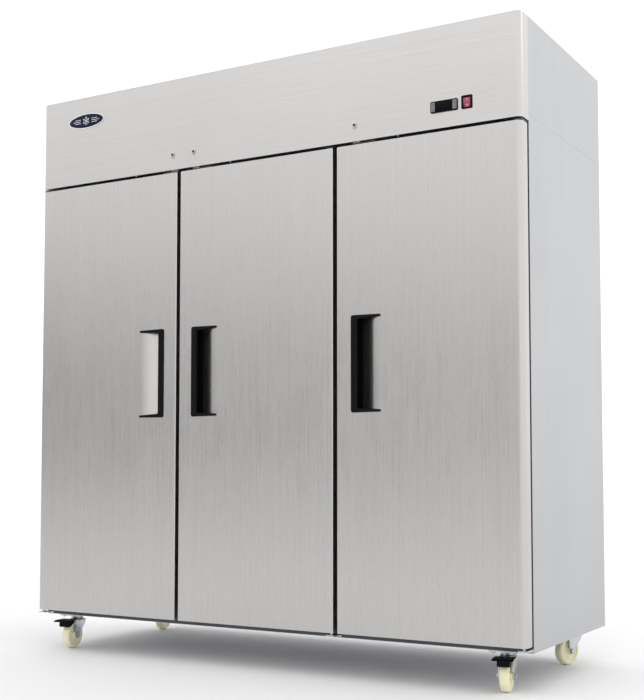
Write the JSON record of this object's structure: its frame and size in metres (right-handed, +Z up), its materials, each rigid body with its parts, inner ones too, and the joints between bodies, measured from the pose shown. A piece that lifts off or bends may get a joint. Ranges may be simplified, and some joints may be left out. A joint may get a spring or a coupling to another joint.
{
  "type": "reach in refrigerator",
  "caption": "Upright stainless cabinet with side-by-side insulated doors, recessed pulls, a control header with the cooling unit on top, wire shelves inside, and swivel casters.",
  "frame": {"origin": "on the floor, under the middle of the overall box", "axes": "+Z up, doors face -Y, +X to the right seen from the front"},
  "size_m": [1.975, 0.8, 2.111],
  "materials": {
    "brushed_door": "satin",
    "header_steel": "satin",
    "side_steel": "satin",
    "inner_steel": "satin",
    "zinc": "satin",
    "black_moulding": "satin",
    "gasket": "matte",
    "frame": "satin",
    "foam": "matte",
    "door_liner": "satin",
    "shelf_wire": "satin",
    "nylon": "satin",
    "rocker_red": "gloss",
    "silver_plastic": "satin",
    "black_paint": "satin",
    "aluminium": "satin",
    "fan_plastic": "satin"
  },
  "bodies": {
    "cabinet": {"side_panel_left": "side_steel", "side_panel_right": "side_steel", "back_panel": "side_steel", "base_panel": "zinc", "insulation": "foam", "inner_liner": "inner_steel", "front_frame": "frame", "hinge_bottom_left": "zinc", "hinge_bottom_middle": "zinc", "hinge_bottom_right": "zinc", "header_panel": "header_steel", "header_side_left": "side_steel", "header_side_right": "side_steel", "controller": "black_moulding", "switch_housing": "black_moulding", "unit_tray": "zinc", "compressor": "black_paint", "condenser": "aluminium", "evaporator": "aluminium", "shelf_left_1": "shelf_wire", "shelf_left_2": "shelf_wire", "shelf_left_3": "shelf_wire", "shelf_middle_1": "shelf_wire", "shelf_middle_2": "shelf_wire", "shelf_middle_3": "shelf_wire", "shelf_right_1": "shelf_wire", "shelf_right_2": "shelf_wire", "shelf_right_3": "shelf_wire"},
    "door_left": {"door_left_skin": "brushed_door", "door_left_liner": "door_liner", "door_left_gasket": "gasket", "door_left_handle": "black_moulding"},
    "door_middle": {"door_middle_skin": "brushed_door", "door_middle_liner": "door_liner", "door_middle_gasket": "gasket", "door_middle_handle": "black_moulding"},
    "door_right": {"door_right_skin": "brushed_door", "door_right_liner": "door_liner", "door_right_gasket": "gasket", "door_right_handle": "black_moulding"},
    "lock_left": {"lock_left": "zinc"},
    "lock_middle": {"lock_middle": "zinc"},
    "lock_right": {"lock_right": "zinc"},
    "switch_rocker": {"switch_rocker": "rocker_red"},
    "button_up": {"button_up": "silver_plastic"},
    "button_down": {"button_down": "silver_plastic"},
    "button_set": {"button_set": "silver_plastic"},
    "button_light": {"button_light": "silver_plastic"},
    "caster_front_left": {"caster_front_left_fork": "zinc"},
    "wheel_front_left": {"caster_front_left_wheel": "nylon"},
    "brake_front_left": {"caster_front_left_brake": "black_moulding"},
    "caster_front_right": {"caster_front_right_fork": "zinc"},
    "wheel_front_right": {"caster_front_right_wheel": "nylon"},
    "brake_front_right": {"caster_front_right_brake": "black_moulding"},
    "caster_rear_left": {"caster_rear_left_fork": "zinc"},
    "wheel_rear_left": {"caster_rear_left_wheel": "nylon"},
    "caster_rear_right": {"caster_rear_right_fork": "zinc"},
    "wheel_rear_right": {"caster_rear_right_wheel": "nylon"},
    "condenser_fan": {"condenser_fan": "fan_plastic"},
    "evaporator_fan": {"evaporator_fan": "fan_plastic"}
  },
  "joints": [
    {"name": "door_left_hinge", "type": "hinge", "parent": "cabinet", "child": "door_left", "pos_m": [-0.9715, -0.375, 0.957], "axis": [0, 0, -1], "range_deg": [0, 90], "stiffness_Nm_per_rad": 2, "springref_deg": -22.92},
    {"name": "door_middle_hinge", "type": "hinge", "parent": "cabinet", "child": "door_middle", "pos_m": [0.302, -0.375, 0.957], "axis": [0, 0, 1], "range_deg": [0, 90], "stiffness_Nm_per_rad": 2, "springref_deg": -22.92},
    {"name": "door_right_hinge", "type": "hinge", "parent": "cabinet", "child": "door_right", "pos_m": [0.9715, -0.375, 0.957], "axis": [0, 0, 1], "range_deg": [0, 90], "stiffness_Nm_per_rad": 2, "springref_deg": -22.92},
    {"name": "lock_left_turn", "type": "hinge", "parent": "cabinet", "child": "lock_left", "pos_m": [-0.353, -0.385, 1.831], "axis": [0, -1, 0], "range_deg": [0, 90]},
    {"name": "lock_middle_turn", "type": "hinge", "parent": "cabinet", "child": "lock_middle", "pos_m": [-0.259, -0.385, 1.831], "axis": [0, 1, 0], "range_deg": [0, 90]},
    {"name": "lock_right_turn", "type": "hinge", "parent": "cabinet", "child": "lock_right", "pos_m": [0.402, -0.385, 1.831], "axis": [0, 1, 0], "range_deg": [0, 90]},
    {"name": "switch_rock", "type": "hinge", "parent": "cabinet", "child": "switch_rocker", "pos_m": [0.8065, -0.389, 1.847], "axis": [-1, 0, 0], "range_deg": [0, 16]},
    {"name": "button_up_press", "type": "slide", "parent": "cabinet", "child": "button_up", "axis": [0, 1, 0], "range_m": [0, 0.0008], "stiffness_N_per_m": 400},
    {"name": "button_down_press", "type": "slide", "parent": "cabinet", "child": "button_down", "axis": [0, 1, 0], "range_m": [0, 0.0008], "stiffness_N_per_m": 400},
    {"name": "button_set_press", "type": "slide", "parent": "cabinet", "child": "button_set", "axis": [0, 1, 0], "range_m": [0, 0.0008], "stiffness_N_per_m": 400},
    {"name": "button_light_press", "type": "slide", "parent": "cabinet", "child": "button_light", "axis": [0, 1, 0], "range_m": [0, 0.0008], "stiffness_N_per_m": 400},
    {"name": "caster_front_left_swivel", "type": "hinge", "parent": "cabinet", "child": "caster_front_left", "pos_m": [-0.885, -0.283, 0.11], "axis": [0, 0, 1], "continuous": true},
    {"name": "wheel_front_left_spin", "type": "hinge", "parent": "caster_front_left", "child": "wheel_front_left", "pos_m": [-0.8811, -0.31476, 0.05], "axis": [0.9925, 0.1219, 0], "continuous": true},
    {"name": "brake_front_left_pedal", "type": "hinge", "parent": "caster_front_left", "child": "brake_front_left", "pos_m": [-0.87915, -0.33064, 0.1025], "axis": [-0.9925, -0.1219, 0], "range_deg": [0, 12]},
    {"name": "caster_front_right_swivel", "type": "hinge", "parent": "cabinet", "child": "caster_front_right", "pos_m": [0.885, -0.283, 0.11], "axis": [0, 0, 1], "continuous": true},
    {"name": "wheel_front_right_spin", "type": "hinge", "parent": "caster_front_right", "child": "wheel_front_right", "pos_m": [0.89111, -0.31441, 0.05], "axis": [0.9816, 0.1908, 0], "continuous": true},
    {"name": "brake_front_right_pedal", "type": "hinge", "parent": "caster_front_right", "child": "brake_front_right", "pos_m": [0.89416, -0.33012, 0.1025], "axis": [-0.9816, -0.1908, 0], "range_deg": [0, 12]},
    {"name": "caster_rear_left_swivel", "type": "hinge", "parent": "cabinet", "child": "caster_rear_left", "pos_m": [-0.9, 0.3, 0.11], "axis": [0, 0, 1], "continuous": true},
    {"name": "wheel_rear_left_spin", "type": "hinge", "parent": "caster_rear_left", "child": "wheel_rear_left", "pos_m": [-0.89444, 0.26849, 0.05], "axis": [0.9848, 0.1736, 0], "continuous": true},
    {"name": "caster_rear_right_swivel", "type": "hinge", "parent": "cabinet", "child": "caster_rear_right", "pos_m": [0.9, 0.3, 0.11], "axis": [0, 0, 1], "continuous": true},
    {"name": "wheel_rear_right_spin", "type": "hinge", "parent": "caster_rear_right", "child": "wheel_rear_right", "pos_m": [0.88801, 0.27033, 0.05], "axis": [0.9272, -0.3746, 0], "continuous": true},
    {"name": "condenser_fan_spin", "type": "hinge", "parent": "cabinet", "child": "condenser_fan", "pos_m": [0.06, 0.048, 1.9372], "axis": [0, 1, 0], "continuous": true},
    {"name": "evaporator_fan_spin", "type": "hinge", "parent": "cabinet", "child": "evaporator_fan", "pos_m": [0, -0.059, 1.64105], "axis": [0, 1, 0], "continuous": true}
  ]
}
